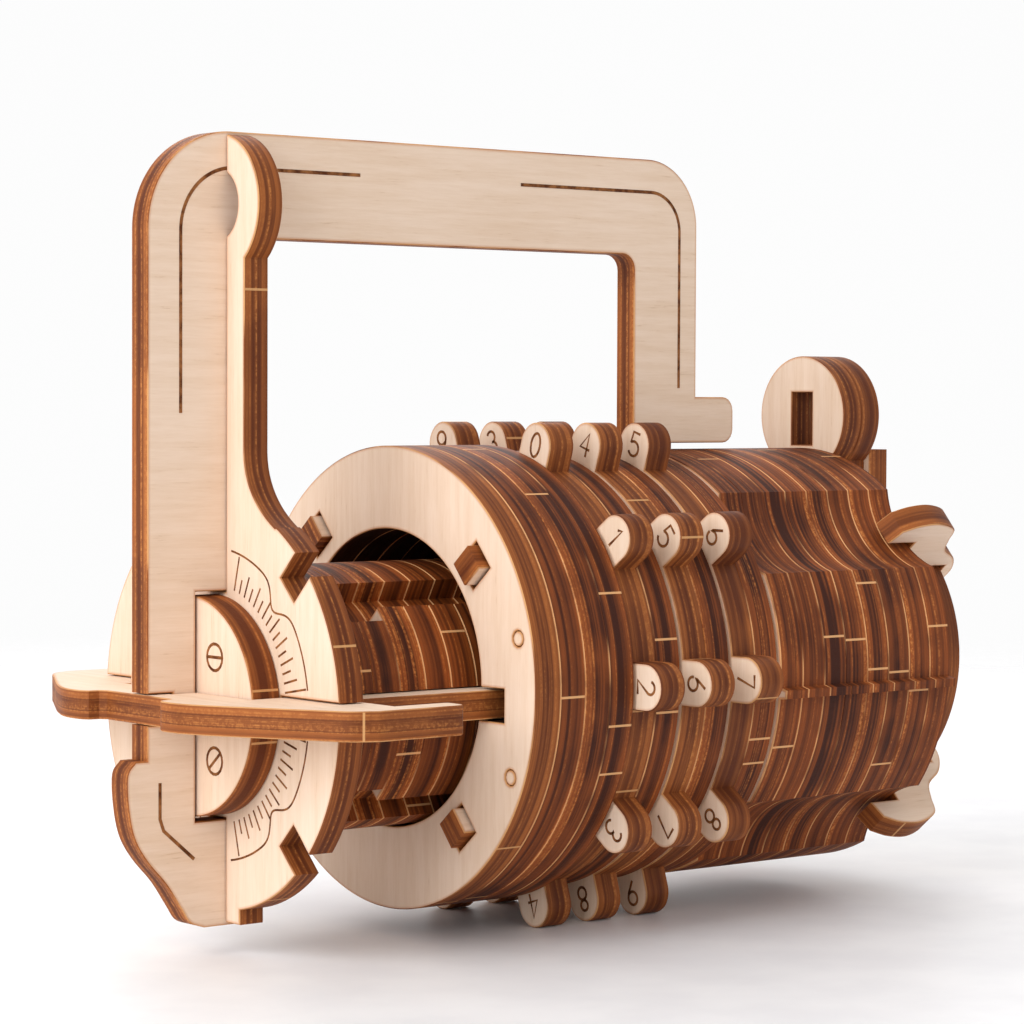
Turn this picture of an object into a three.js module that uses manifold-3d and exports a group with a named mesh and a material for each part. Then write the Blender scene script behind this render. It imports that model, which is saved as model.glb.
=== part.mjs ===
// A wooden cryptex, made of laser-cut plywood sheets: a barrel of stacked layers with three number rings, and a
// plunger with a shackle that slides out of the barrel when the right digits stand in line.
// Millimetres, +Z up. The barrel's axis is X, and x = 0 is the front face of the front cover while the parts are
// drawn; the finished group stands on z = 0 with the middle of its outer box over the origin.
import * as THREE from "three";
import { mergeVertices } from "three/addons/utils/BufferGeometryUtils.js";
import Module from "manifold-3d";

// Sheets and fits
const LAYER = 3.8; // sheet of the barrel, the rings, the core and the screw disc
const PLATE = 3.4; // sheet of the shackle, dial, key, ribs, eye and back cover
const FIT = 0.15; // play on each side where one sheet crosses another
const RING_GAP = 0.5; // play beside each number ring
const CHORD_ERROR = 0.09; // how far a facet may lie inside its arc

// Barrel
const FRONT_LAYERS = 4;
const BACK_LAYERS = 8;
const FRONT_RADIUS = 28.3;
const BORE_RADIUS = 18.2;
const LOBE_RADIUS = 27.6;
const LOBE_HALF_ANGLE = 31.5; // degrees each side of the middle of a lobe
const VALLEY_RADIUS = 24.9; // deepest point between two lobes
const NIB_HEIGHT = 1.1;
const NIB_HALF_ANGLE = 1.5;
const NIB_TAPER = 0.7;
const BARREL_ROLL = -4.6; // degrees the barrel sits rolled under the head
const COVER_NOTCH_REACH = 22.5; // the front cover's arm notch, which keeps the key's teeth in
const TOOTH_SLOT_REACH = 25.9; // the arm slots of all layers behind the cover

// Ribs that tie the layers together, and dowels through the front layers
const RIB_INNER = 20.5;
const RIB_OUTER = 24.0;
const RIB_PROUD = 1.3; // how far the ribs stand out of the front cover
const RIB_SLOT_GAP = 0.3;
const EAR_GAP = 0.9; // between an ear and the hollow under it
const DOWEL_RADIUS = 0.9;
const DOWEL_HOLE_RADIUS = 1.0;
const DOWEL_CIRCLE = 25.8;
const DOWEL_ANGLE = 18.5;

// Number rings
const RING_COUNT = 3;
const DIGITS = 10;
const RING_RADIUS = 27.5;
const DIGIT_RING_BORE = 26.0; // the key's teeth turn free in here
const GATE_RING_BORE = 24.3; // and are blocked here, except in the gates
const GATE_DEPTH_RADIUS = 26.0;
const GATE_HALF_ANGLE = 9.8;
const TAB_HALF_WIDTH = 2.85;
const TAB_CENTRE_RADIUS = 29.75;

// Head, about its own axis
const HEAD_DROP = 1.85; // the plunger is a loose fit and lies low in its bore
const DIAL_FRONT = -25.0;
const DIAL_RADIUS = 24.2;
const DIAL_NOTCH_INNER = 19.9;
const DIAL_NOTCH_WIDTH = 3.7;
const STRIP_HALF_WIDTH = 5.4;
const BULB_HEIGHT = 58.35;
const BULB_RADIUS = 8.3;
const BULB_HOLE_RADIUS = 4.1;
const FOOT_HALF_WIDTH = 4.6;
const FOOT_DROP = 1.3;
const SCREW_DISC_RADIUS = 12.9;
const SCREW_DISC_GAP = 0.1;
const WINDOW_HALF_HEIGHT = 13.4; // opening in the shackle plate for the screw disc and the dial

// Shackle plate
const SHACKLE_LEFT = -35.8;
const SHACKLE_RIGHT = 49.3;
const SHACKLE_TOP = 66.85;
const BAR_BOTTOM = 54.55;
const RIGHT_POST_INNER = 38.4;
const TANG_TIP = 56.0;
const TANG_TOP = 36.25;
const TANG_BOTTOM = 30.25;
const SHACKLE_BOTTOM = -25.85;
const WINDOW_FRONT = -29.2;
const KEY_CROSSING = -32.5; // where the halving slots of shackle and key plate meet

// Key plate
const KEY_FRONT = -36.0;
const WING_REACH = 32.5;
const WING_INNER = 28.9; // the wings pass outside the front layers
const WING_END = -13.4;
const ARM_OUTER = 19.9;
const ARM_INNER = 13.0;
const ARM_END = 46.0; // the pushed-in arms stop short of the last back layer
const TOOTH_TIP = 25.3;
const TEETH = [[4.1, 6.9], [12.0, 14.8], [24.0, 27.0]]; // from and to along the arm, pulled out

// Core
const CORE_DISCS = 8;
const CORE_RADIUS = 16.1;
const CORE_GROOVE_RADIUS = 13.4;

// Eye and back cover
const EYE_HEIGHT = 32.0;
const EYE_RADIUS = 8.0;
const EYE_SLOT_HALF_WIDTH = 1.95;
const EYE_SLOT = [28.0, 35.1]; // low and high end of the slot
const EYE_NECK_HALF_WIDTH = 5.2;
const COVER_NECK_HALF_WIDTH = 6.2;
const COVER_NECK_TOP = 27.4;
const END_DISC_RADIUS = 19.9;
const EYE_PLATE_BORE = 11.0;

// Places along the axis
const FRONT_END = FRONT_LAYERS * LAYER;
const RING_PITCH = 2 * LAYER + RING_GAP;
const RING_START = FRONT_END + RING_GAP;
const BACK_START = RING_START + RING_COUNT * RING_PITCH;
const BACK_END = BACK_START + BACK_LAYERS * LAYER;
const COVER_BACK = BACK_END + 3 * PLATE;
const DIAL_BACK = DIAL_FRONT + PLATE;

const wasm = await Module();
wasm.setup();

const radians = THREE.MathUtils.degToRad;
const degrees = THREE.MathUtils.radToDeg;
const point = (a, b) => new THREE.Vector2(a, b);
const polar = (radius, angle) => point(radius * Math.cos(radians(angle)), radius * Math.sin(radians(angle)));

// Points of an arc about (a, b), from one angle to another, in degrees.
function arc(a, b, radius, from, to) {
  const step = degrees(2 * Math.acos(1 - CHORD_ERROR / radius));
  const count = Math.max(2, Math.ceil(Math.abs(to - from) / step));
  return Array.from({ length: count + 1 }, (_, i) =>
    polar(radius, from + ((to - from) * i) / count).add(point(a, b)),
  );
}

const circle = (radius, a = 0, b = 0) => arc(a, b, radius, 0, 360).slice(0, -1);

const rectangle = (left, right, low, high) => [
  point(left, low),
  point(right, low),
  point(right, high),
  point(left, high),
];

// A rectangle that lies along a radius, from one radius to another.
function radialSlot(inner, outer, width, angle) {
  const turn = (p) => p.rotateAround(point(0, 0), radians(angle));
  return rectangle(inner, outer, -width / 2, width / 2).map(turn);
}

const smooth = (points, count) => new THREE.SplineCurve(points).getPoints(count);

// A sheet cut to an outline, as a manifold-3d solid that lies on z = 0.
function cut(outline, holes, thickness) {
  const shape = new THREE.Shape(outline);
  shape.holes = holes.map((h) => new THREE.Path(h));
  const extruded = new THREE.ExtrudeGeometry(shape, { depth: thickness, bevelEnabled: false });
  extruded.deleteAttribute("normal");
  extruded.deleteAttribute("uv");
  const merged = mergeVertices(extruded, 1e-4);
  return new wasm.Manifold(
    new wasm.Mesh({
      numProp: 3,
      vertProperties: merged.getAttribute("position").array,
      triVerts: new Uint32Array(merged.index.array),
    }),
  );
}

// Ways to place a drawn sheet. A cross sheet is drawn as seen from the front: the near side, -Y, to the right.
const placeCross = (x, thickness) =>
  new THREE.Matrix4().set(0, 0, -1, x + thickness, -1, 0, 0, 0, 0, 1, 0, 0, 0, 0, 0, 1);
// An upright sheet is drawn as seen from the near side, and a level sheet as seen from above.
const placeUpright = (thickness) =>
  new THREE.Matrix4().set(1, 0, 0, 0, 0, 0, -1, thickness / 2, 0, 1, 0, 0, 0, 0, 0, 1);
const placeLevel = (thickness) => new THREE.Matrix4().makeTranslation(0, 0, -thickness / 2);

const BIRCH = 0xd9bd8f;
const BROWNED = 0x8a5630;

function mesh(name, solid, placement, colour) {
  const made = solid.getMesh();
  const geometry = new THREE.BufferGeometry();
  geometry.setAttribute("position", new THREE.Float32BufferAttribute(made.vertProperties, 3));
  geometry.setIndex(new THREE.Uint32BufferAttribute(made.triVerts, 1));
  geometry.applyMatrix4(placement);
  const material = new THREE.MeshStandardMaterial({ color: colour, roughness: 0.75, metalness: 0 });
  const result = new THREE.Mesh(geometry, material);
  result.name = name;
  return result;
}

// The round bore of a barrel layer with a notch on each side for the key plate's arms. The near notch hugs its
// arm; the far one is taller, which lets the barrel roll a few degrees under the head.
function boreWithNotches(reach) {
  const half = PLATE / 2 + 2 * FIT;
  const low = -HEAD_DROP - half;
  const nearHigh = -HEAD_DROP + half;
  const farHigh = HEAD_DROP + half;
  const angleAt = (z) => degrees(Math.asin(z / BORE_RADIUS));
  return [
    point(reach, nearHigh),
    ...arc(0, 0, BORE_RADIUS, angleAt(nearHigh), 180 - angleAt(farHigh)),
    point(-reach, farHigh),
    point(-reach, low),
    ...arc(0, 0, BORE_RADIUS, 180 - angleAt(low), 360 + angleAt(low)),
    point(reach, low),
  ];
}

const RIB_ANGLES = { upper_near: 45, lower_near: -45, upper_far: 135, lower_far: -135 };
const DOWEL_ANGLES = {
  upper_near: DOWEL_ANGLE,
  lower_near: -DOWEL_ANGLE,
  upper_far: 180 - DOWEL_ANGLE,
  lower_far: 180 + DOWEL_ANGLE,
};
const ribSlots = () =>
  Object.values(RIB_ANGLES).map((angle) =>
    radialSlot(
      RIB_INNER - RIB_SLOT_GAP,
      RIB_OUTER + RIB_SLOT_GAP,
      PLATE + 2 * RIB_SLOT_GAP,
      angle + BARREL_ROLL,
    ),
  );
const dowelPlace = (angle) => polar(DOWEL_CIRCLE, angle + BARREL_ROLL);

// Front layers: four plain discs; the first is the front cover, with the short arm notches.
function frontLayer(index) {
  const reach = index === 0 ? COVER_NOTCH_REACH : TOOTH_SLOT_REACH;
  const dowelHoles = Object.values(DOWEL_ANGLES).map((angle) => {
    const middle = dowelPlace(angle);
    return circle(DOWEL_HOLE_RADIUS, middle.x, middle.y);
  });
  const solid = cut(circle(FRONT_RADIUS), [boreWithNotches(reach), ...ribSlots(), ...dowelHoles], LAYER);
  const name = index === 0 ? "front_cover" : `front_layer_${index + 1}`;
  return mesh(name, solid, placeCross(index * LAYER, LAYER), index === 0 ? BIRCH : BROWNED);
}

// Back layers: four lobes with hollows between them, and the index nib on the near lobe.
function lobedOutline() {
  const hollowHalf = 45 - LOBE_HALF_ANGLE;
  const halfChord = LOBE_RADIUS * Math.sin(radians(hollowHalf));
  const depth = LOBE_RADIUS * Math.cos(radians(hollowHalf)) - VALLEY_RADIUS;
  const hollowRadius = (halfChord ** 2 + depth ** 2) / (2 * depth);
  const hollowSweep = degrees(Math.asin(halfChord / hollowRadius));
  const outline = [];
  for (let lobe = 0; lobe < 4; lobe++) {
    const middle = lobe * 90 + BARREL_ROLL;
    const start = middle - LOBE_HALF_ANGLE;
    const end = middle + LOBE_HALF_ANGLE;
    if (lobe === 0) {
      outline.push(...arc(0, 0, LOBE_RADIUS, start, middle - NIB_HALF_ANGLE));
      outline.push(polar(LOBE_RADIUS + NIB_HEIGHT, middle - NIB_TAPER * NIB_HALF_ANGLE));
      outline.push(polar(LOBE_RADIUS + NIB_HEIGHT, middle + NIB_TAPER * NIB_HALF_ANGLE));
      outline.push(...arc(0, 0, LOBE_RADIUS, middle + NIB_HALF_ANGLE, end));
    } else {
      outline.push(...arc(0, 0, LOBE_RADIUS, start, end));
    }
    const hollow = middle + 45;
    const centre = polar(VALLEY_RADIUS + hollowRadius, hollow);
    const sweep = arc(centre.x, centre.y, hollowRadius, hollow + 180 + hollowSweep, hollow + 180 - hollowSweep);
    outline.push(...sweep.slice(1, -1));
  }
  return outline;
}

// The last one has a plain bore, which closes the arm slots at the back.
function backLayer(index) {
  const bore = index === BACK_LAYERS - 1 ? circle(BORE_RADIUS) : boreWithNotches(TOOTH_SLOT_REACH);
  const solid = cut(lobedOutline(), [bore, ...ribSlots()], LAYER);
  return mesh(`back_layer_${index + 1}`, solid, placeCross(BACK_START + index * LAYER, LAYER), BROWNED);
}

// A rib runs through every layer. Its ear lies in a hollow of the back layers and hooks round the back cover.
function rib(side) {
  const front = -RIB_PROUD;
  const hookFront = COVER_BACK + RIB_SLOT_GAP;
  const outline = [
    point(front, RIB_INNER),
    point(hookFront, RIB_INNER),
    point(hookFront, RIB_INNER - 3.6),
    ...smooth(
      [
        point(hookFront + 2.1, RIB_INNER - 3.6),
        point(hookFront + 2.1, RIB_INNER - 0.8),
        point(hookFront + 0.4, RIB_INNER + 1.6),
        point(hookFront - 2.6, RIB_INNER + 3.4),
        point(hookFront - 3.7, RIB_INNER + 5.6),
        point(hookFront - 4.6, RIB_INNER + 7.9),
        point(hookFront - 8.2, RIB_INNER + 9.1),
        point(hookFront - 11.6, RIB_INNER + 8.8),
        point(hookFront - 14.2, RIB_INNER + 7.7),
      ],
      20,
    ),
    point(BACK_END - 4.6, VALLEY_RADIUS + EAR_GAP),
    point(BACK_END + 0.4, VALLEY_RADIUS + EAR_GAP),
    point(BACK_END + 0.4, RIB_OUTER),
    point(front, RIB_OUTER),
  ];
  const made = mesh(`rib_${side}`, cut(outline, [], PLATE), placeUpright(PLATE), BIRCH);
  made.rotation.x = radians(90 - RIB_ANGLES[side] - BARREL_ROLL);
  return made;
}

function dowel(side) {
  const middle = dowelPlace(DOWEL_ANGLES[side]);
  const solid = cut(circle(DOWEL_RADIUS, middle.x, middle.y), [], FRONT_END);
  return mesh(`dowel_${side}`, solid, placeCross(0, FRONT_END), BIRCH);
}

// The eye that the shackle's tang enters: two plates whose round heads stand above the back layers.
function eyePlate(index) {
  const solid = cut(circle(END_DISC_RADIUS), [], PLATE)
    .add(cut(rectangle(-EYE_NECK_HALF_WIDTH, EYE_NECK_HALF_WIDTH, 0, EYE_HEIGHT), [], PLATE))
    .add(cut(circle(EYE_RADIUS, 0, EYE_HEIGHT), [], PLATE))
    .subtract(cut(rectangle(-EYE_SLOT_HALF_WIDTH, EYE_SLOT_HALF_WIDTH, ...EYE_SLOT), [], PLATE))
    .subtract(cut(circle(EYE_PLATE_BORE), [], PLATE));
  const name = index === 0 ? "eye_plate_front" : "eye_plate_rear";
  return mesh(name, solid, placeCross(BACK_END + index * PLATE, PLATE), BIRCH);
}

function backCover() {
  const neck = rectangle(-COVER_NECK_HALF_WIDTH, COVER_NECK_HALF_WIDTH, 0, COVER_NECK_TOP);
  const solid = cut(circle(END_DISC_RADIUS), [], PLATE).add(cut(neck, [], PLATE));
  return mesh("back_cover", solid, placeCross(COVER_BACK - PLATE, PLATE), BIRCH);
}

// A number ring is a digit ring with ten tabs, glued to a gate ring that rides on the ribs.
function digitRing(index) {
  const half = degrees(Math.asin(TAB_HALF_WIDTH / RING_RADIUS));
  const outline = [];
  for (let digit = 0; digit < DIGITS; digit++) {
    const middle = (digit * 360) / DIGITS;
    const tip = polar(TAB_CENTRE_RADIUS, middle);
    outline.push(polar(RING_RADIUS, middle - half));
    outline.push(...arc(tip.x, tip.y, TAB_HALF_WIDTH, middle - 90, middle + 90));
    outline.push(...arc(0, 0, RING_RADIUS, middle + half, middle + 360 / DIGITS - half).slice(0, -1));
  }
  const solid = cut(outline, [circle(DIGIT_RING_BORE)], LAYER);
  return mesh(`digit_ring_${index + 1}`, solid, placeCross(RING_START + index * RING_PITCH, LAYER), BIRCH);
}

function gateRing(index) {
  const inner = [
    ...arc(0, 0, GATE_DEPTH_RADIUS, -GATE_HALF_ANGLE, GATE_HALF_ANGLE),
    ...arc(0, 0, GATE_RING_BORE, GATE_HALF_ANGLE, 360 - GATE_HALF_ANGLE),
  ];
  const solid = cut(circle(RING_RADIUS), [inner], LAYER);
  const x = RING_START + index * RING_PITCH + LAYER;
  return mesh(`gate_ring_${index + 1}`, solid, placeCross(x, LAYER), BROWNED);
}

// The shackle plate: post, bar, short post with the tang, and the lower end with its stepped outline.
function shacklePlate() {
  const keyHalf = PLATE / 2 + FIT;
  const outline = [
    point(SHACKLE_LEFT, keyHalf),
    ...arc(SHACKLE_LEFT + 11.5, SHACKLE_TOP - 11.5, 11.5, 180, 90),
    ...arc(SHACKLE_RIGHT - 8.5, SHACKLE_TOP - 8.5, 8.5, 90, 0),
    point(SHACKLE_RIGHT, TANG_TOP),
    ...arc(TANG_TIP - 1.8, TANG_TOP - 1.8, 1.8, 90, 0),
    ...arc(TANG_TIP - 1.8, TANG_BOTTOM + 1.8, 1.8, 0, -90),
    ...arc(RIGHT_POST_INNER + 1, TANG_BOTTOM + 1, 1, -90, -180),
    ...arc(RIGHT_POST_INNER - 2, BAR_BOTTOM - 2, 2, 0, 90),
    point(DIAL_BACK, BAR_BOTTOM),
    point(DIAL_BACK, WINDOW_HALF_HEIGHT),
    point(WINDOW_FRONT, WINDOW_HALF_HEIGHT),
    point(WINDOW_FRONT, -WINDOW_HALF_HEIGHT),
    point(DIAL_BACK, -WINDOW_HALF_HEIGHT),
    point(DIAL_BACK, SHACKLE_BOTTOM),
    ...smooth(
      [
        point(-27.9, SHACKLE_BOTTOM),
        point(-29.9, -25.1),
        point(-31.2, -23.3),
        point(-33.2, -20.4),
        point(-35.9, -17.4),
        point(-37.6, -14.6),
        point(-38.4, -11.0),
        point(-38.5, -7.4),
        point(-37.4, -5.9),
      ],
      18,
    ),
    point(SHACKLE_LEFT, -5.9),
    point(SHACKLE_LEFT, -keyHalf),
    point(KEY_CROSSING + FIT, -keyHalf),
    point(KEY_CROSSING + FIT, keyHalf),
  ];
  return mesh("shackle_plate", cut(outline, [], PLATE), placeUpright(PLATE), BIRCH);
}

// The dial: a notched disc whose strip runs up the post to a round head, slotted to straddle the shackle plate.
function dialPlate() {
  const flare = (side) =>
    new THREE.QuadraticBezierCurve(
      point(side * STRIP_HALF_WIDTH, 29.5),
      point(side * (STRIP_HALF_WIDTH + 0.2), 24.4),
      point(side * 11.6, 21.0),
    ).getPoints(6);
  const strip = [
    point(-11.6, 0),
    point(11.6, 0),
    ...flare(1).reverse(),
    point(STRIP_HALF_WIDTH, BULB_HEIGHT),
    point(-STRIP_HALF_WIDTH, BULB_HEIGHT),
    ...flare(-1),
  ];
  const straddle = PLATE / 2 + FIT / 2;
  const centreHalf = WINDOW_HALF_HEIGHT - FIT;
  const keyHalf = PLATE / 2 + FIT;
  const top = BULB_HEIGHT + BULB_RADIUS + 1;
  const foot = -DIAL_RADIUS - FOOT_DROP;
  const sheet = (outline) => cut(outline, [], PLATE);
  let solid = sheet(circle(DIAL_RADIUS))
    .add(sheet(strip))
    .add(sheet(circle(BULB_RADIUS, 0, BULB_HEIGHT)))
    .add(sheet(rectangle(-FOOT_HALF_WIDTH, FOOT_HALF_WIDTH, foot, 0)))
    .subtract(sheet(circle(BULB_HOLE_RADIUS, 0, BULB_HEIGHT)))
    .subtract(sheet(rectangle(-straddle, straddle, centreHalf, top)))
    .subtract(sheet(rectangle(-straddle, straddle, foot - 1, -centreHalf)))
    .subtract(sheet(rectangle(ARM_INNER - FIT, DIAL_RADIUS + 1, -keyHalf, keyHalf)))
    .subtract(sheet(rectangle(-DIAL_RADIUS - 1, FIT - ARM_INNER, -keyHalf, keyHalf)));
  for (const angle of [45, 135, 225, 315]) {
    solid = solid.subtract(sheet(radialSlot(DIAL_NOTCH_INNER, DIAL_RADIUS + 2, DIAL_NOTCH_WIDTH, angle)));
  }
  return mesh("dial_plate", solid, placeCross(DIAL_FRONT, PLATE), BIRCH);
}

function screwDisc() {
  const solid = cut(circle(SCREW_DISC_RADIUS), [], LAYER);
  return mesh("screw_disc", solid, placeCross(DIAL_FRONT - LAYER - SCREW_DISC_GAP, LAYER), BIRCH);
}

// The key plate: front wings that reach round the barrel, a plain arm, and an arm whose teeth pass the gates.
function keyPlate() {
  const armSlot = DIAL_BACK + 0.7;
  const side = (teeth) => [
    point(KEY_FRONT, 6.6),
    point(KEY_FRONT - 0.6, 7.4),
    ...smooth(
      [
        point(-37.9, 7.6),
        point(-38.5, 9.0),
        point(-38.3, 12.4),
        point(-36.6, 16.6),
        point(-33.9, 21.6),
        point(-31.0, 26.8),
        point(-28.6, 30.8),
        point(-25.6, WING_REACH),
      ],
      18,
    ),
    ...arc(WING_END - 1.2, WING_REACH - 1.2, 1.2, 90, 0),
    ...arc(WING_END - 0.8, WING_INNER + 0.8, 0.8, 0, -90),
    point(armSlot, WING_INNER),
    point(armSlot, ARM_OUTER),
    ...teeth.flatMap(([from, to]) => [
      point(from, ARM_OUTER),
      point(from, TOOTH_TIP),
      point(to, TOOTH_TIP),
      point(to, ARM_OUTER),
    ]),
    point(ARM_END, ARM_OUTER),
    point(ARM_END, ARM_INNER),
    point(WINDOW_FRONT, ARM_INNER),
    point(WINDOW_FRONT, PLATE / 2 + FIT),
    point(KEY_CROSSING, PLATE / 2 + FIT),
  ];
  const near = side(TEETH).map((p) => point(p.x, -p.y));
  const outline = [...side([]), ...near.reverse()];
  return mesh("key_plate", cut(outline, [], PLATE), placeLevel(PLATE), BIRCH);
}

// A core disc: round, with a groove at each corner and a slot on each side for an arm of the key plate.
function coreDisc(index) {
  const slotHalf = PLATE / 2 + FIT;
  const slotAngle = degrees(Math.asin(slotHalf / CORE_RADIUS));
  const grooveFrom = index < 3 ? 38 : 45;
  const grooveTo = 61;
  const upper = [
    point(ARM_INNER - FIT, slotHalf),
    ...arc(0, 0, CORE_RADIUS, slotAngle, grooveFrom),
    ...arc(0, 0, CORE_GROOVE_RADIUS, grooveFrom, grooveTo),
    ...arc(0, 0, CORE_RADIUS, grooveTo, 180 - grooveTo),
    ...arc(0, 0, CORE_GROOVE_RADIUS, 180 - grooveTo, 180 - grooveFrom),
    ...arc(0, 0, CORE_RADIUS, 180 - grooveFrom, 180 - slotAngle),
    point(FIT - ARM_INNER, slotHalf),
  ];
  const lower = upper.map((p) => point(p.x, -p.y)).reverse();
  const solid = cut([...upper, ...lower], [], LAYER);
  return mesh(`core_disc_${index + 1}`, solid, placeCross(DIAL_BACK + index * LAYER, LAYER), BROWNED);
}

const repeat = (count, make) => Array.from({ length: count }, (_, index) => make(index));

const barrel = new THREE.Group();
barrel.add(...repeat(FRONT_LAYERS, frontLayer), ...repeat(BACK_LAYERS, backLayer), ...repeat(2, eyePlate));
barrel.add(backCover(), ...Object.keys(RIB_ANGLES).map(rib), ...Object.keys(DOWEL_ANGLES).map(dowel));

const rings = new THREE.Group();
rings.add(...repeat(RING_COUNT, digitRing), ...repeat(RING_COUNT, gateRing));

const plunger = new THREE.Group();
plunger.position.z = -HEAD_DROP;
plunger.add(shacklePlate(), dialPlate(), screwDisc(), keyPlate(), ...repeat(CORE_DISCS, coreDisc));

const cryptex = new THREE.Group();
cryptex.add(barrel, rings, plunger);
const box = new THREE.Box3().setFromObject(cryptex);
cryptex.position.set(-(box.min.x + box.max.x) / 2, -(box.min.y + box.max.y) / 2, -box.min.z);

export default cryptex;
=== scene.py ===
import math
import random

import bmesh
import bpy
from mathutils import Matrix, Vector
from mathutils.geometry import tessellate_polygon


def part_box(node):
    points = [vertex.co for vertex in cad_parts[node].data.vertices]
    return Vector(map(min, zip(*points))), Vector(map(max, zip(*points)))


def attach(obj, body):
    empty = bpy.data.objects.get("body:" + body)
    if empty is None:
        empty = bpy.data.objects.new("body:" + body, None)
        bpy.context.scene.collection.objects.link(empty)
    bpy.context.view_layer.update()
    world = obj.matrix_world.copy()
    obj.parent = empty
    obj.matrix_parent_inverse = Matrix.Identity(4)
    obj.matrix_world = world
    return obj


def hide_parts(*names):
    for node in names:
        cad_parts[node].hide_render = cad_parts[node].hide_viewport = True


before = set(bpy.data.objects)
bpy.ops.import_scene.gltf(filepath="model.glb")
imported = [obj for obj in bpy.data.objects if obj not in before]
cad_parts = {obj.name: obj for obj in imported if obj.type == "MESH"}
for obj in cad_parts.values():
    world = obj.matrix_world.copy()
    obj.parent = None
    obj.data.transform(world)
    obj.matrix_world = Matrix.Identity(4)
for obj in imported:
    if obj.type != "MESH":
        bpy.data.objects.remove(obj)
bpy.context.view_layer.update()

# Front of the barrel: four round layers of laser-cut birch plywood, pinned together by four dowels. The first
# is the cover, whose pale face shows; the others show only their browned edges. All have the bore, a notch on
# each side for the key's arms, and slots for the ribs.

# Lengths are in millimetres, along the barrel's axis (X) from the front cover's face, and about that axis.
# The plunger hangs a little low in its bore, so the head has an axis of its own.
MM = 0.001
LAYER = 3.8
PLATE = 3.4
FRONT_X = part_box("front_cover")[0].x / MM
BARREL_Z = (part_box("front_cover")[0].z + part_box("front_cover")[1].z) / 2 / MM
HEAD_Z = (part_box("screw_disc")[0].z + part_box("screw_disc")[1].z) / 2 / MM
HEAD_DROP = BARREL_Z - HEAD_Z


def start_of(node):
    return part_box(node)[0].x / MM - FRONT_X


# A sheet is drawn as an outline with holes, cut through, with corners that the beam has just softened.
STEP = 0.55  # about the length of an arc between two of its points
LONGEST_SIDE = 1.6 * STEP
CORNER = 0.12  # width of the softened corner
HALO = 0.45  # how far the beam's heat has tinted the face beside a cut
MARK_WIDTH = 0.28  # of the pale stub where a piece was snapped out of its sheet
CLOSEST = 0.02  # points nearer than this are one point
scatter = random.Random(11)


def point(a, b):
    return Vector((a, b))


def polar(radius, angle):
    return point(radius * math.cos(math.radians(angle)), radius * math.sin(math.radians(angle)))


def arc(a, b, radius, start, end, step=STEP):
    count = max(3, round(abs(math.radians(end - start)) * radius / step))
    return [point(a, b) + polar(radius, start + (end - start) * i / count) for i in range(count + 1)]


def circle(radius, a=0.0, b=0.0):
    return arc(a, b, radius, 0, 360)[:-1]


def smooth(points, each=6):
    line = []
    ends = [points[0] * 2 - points[1], *points, points[-1] * 2 - points[-2]]
    for p, q, r, s in zip(ends, ends[1:], ends[2:], ends[3:]):
        for i in range(each):
            t = i / each
            line.append(0.5 * (2 * q + (r - p) * t + (2 * p - 5 * q + 4 * r - s) * t * t
                               + (3 * q - p - 3 * r + s) * t ** 3))
    return [*line, points[-1]]


def mirrored(points):
    return [point(-p.x, p.y) for p in reversed(points)]


def fine_loop(points, clockwise):
    kept = [p for i, p in enumerate(points) if (p - points[i - 1]).length > CLOSEST]
    area = sum(p.x * q.y - q.x * p.y for p, q in zip(kept, kept[1:] + kept[:1]))
    if (area < 0) != clockwise:
        kept.reverse()
    line = []
    for p, q in zip(kept, kept[1:] + kept[:1]):
        count = max(1, math.ceil((q - p).length / LONGEST_SIDE))
        line.extend(p.lerp(q, i / count) for i in range(count))
    return line


def inset(loop, distance):
    moved = []
    for before, p, after in zip(loop[-1:] + loop[:-1], loop, loop[1:] + loop[:1]):
        one, two = (p - before).normalized(), (after - p).normalized()
        normal = point(-one.y - two.y, one.x + two.x)
        moved.append(p + normal * (2 * distance / max(normal.length_squared, 1.2)))
    return moved


def cross(x, z=BARREL_Z):
    return lambda a, b, c: Vector((FRONT_X + x + c, -a, z + b))


def upright(a, b, c):
    return Vector((FRONT_X + a, PLATE / 2 - c, HEAD_Z + b))


def level(a, b, c):
    return Vector((FRONT_X + a, b, HEAD_Z - PLATE / 2 + c))


def finish(name, mesh_maker, material, body, node=None, smooth_angle=28):
    data = bpy.data.meshes.new(name)
    mesh_maker.to_mesh(data)
    mesh_maker.free()
    data.materials.append(material)
    data.polygons.foreach_set("use_smooth", [True] * len(data.polygons))
    data.set_sharp_from_angle(angle=math.radians(smooth_angle))
    piece = bpy.data.objects.new(name, data)
    bpy.context.scene.collection.objects.link(piece)
    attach(piece, body)
    if node:
        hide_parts(node)
    return piece


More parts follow.
